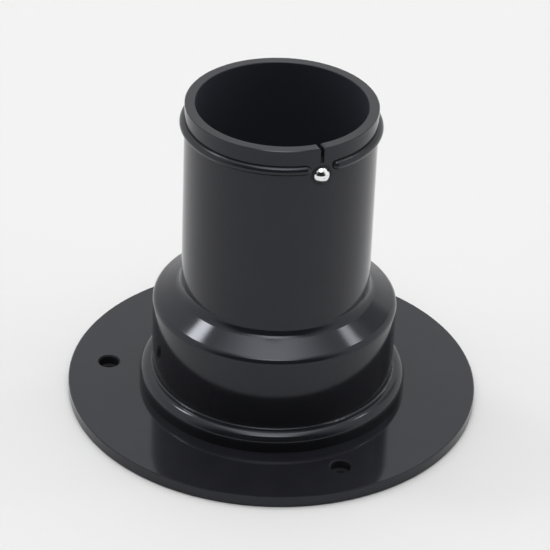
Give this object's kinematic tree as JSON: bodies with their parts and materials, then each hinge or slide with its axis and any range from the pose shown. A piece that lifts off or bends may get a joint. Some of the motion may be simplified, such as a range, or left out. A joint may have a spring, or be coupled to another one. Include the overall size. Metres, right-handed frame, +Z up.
{
  "type": "light snoot",
  "caption": "Black light snoot: a tube with a sprung ball catch and a wire stop ring at the muzzle, on a shouldered body and a round screw-down flange.",
  "frame": {"origin": "centre of the mounting flange's back face", "axes": "+Z up the tube towards the muzzle, -Y towards the ball detent, the rim slot and the first mounting hole, +X to the right as seen from -Y"},
  "size_m": [0.132, 0.132, 0.105],
  "materials": {
    "flange_black": "glossy black anodised",
    "barrel_black": "glossy black anodised",
    "wire_black": "blackened",
    "sleeve_steel": "blackened",
    "ball_steel": "polished",
    "spring_steel": "drawn wire",
    "screw_steel": "blackened",
    "pin_steel": "ground"
  },
  "bodies": {
    "snoot": {"mounting_flange": "flange_black", "barrel_screws": "screw_steel", "locating_dowel": "pin_steel", "snoot_barrel": "barrel_black", "stop_ring": "wire_black", "detent_sleeve": "sleeve_steel", "detent_spring": "spring_steel"},
    "ball": {"detent_ball": "ball_steel"}
  },
  "joints": [
    {"name": "detent_press", "type": "slide", "parent": "snoot", "child": "ball", "axis": [0, 1, 0], "range_m": [0, 0.0021], "stiffness_N_per_m": 3000, "springref_m": -0.001, "deforming": ["detent_spring"]}
  ]
}
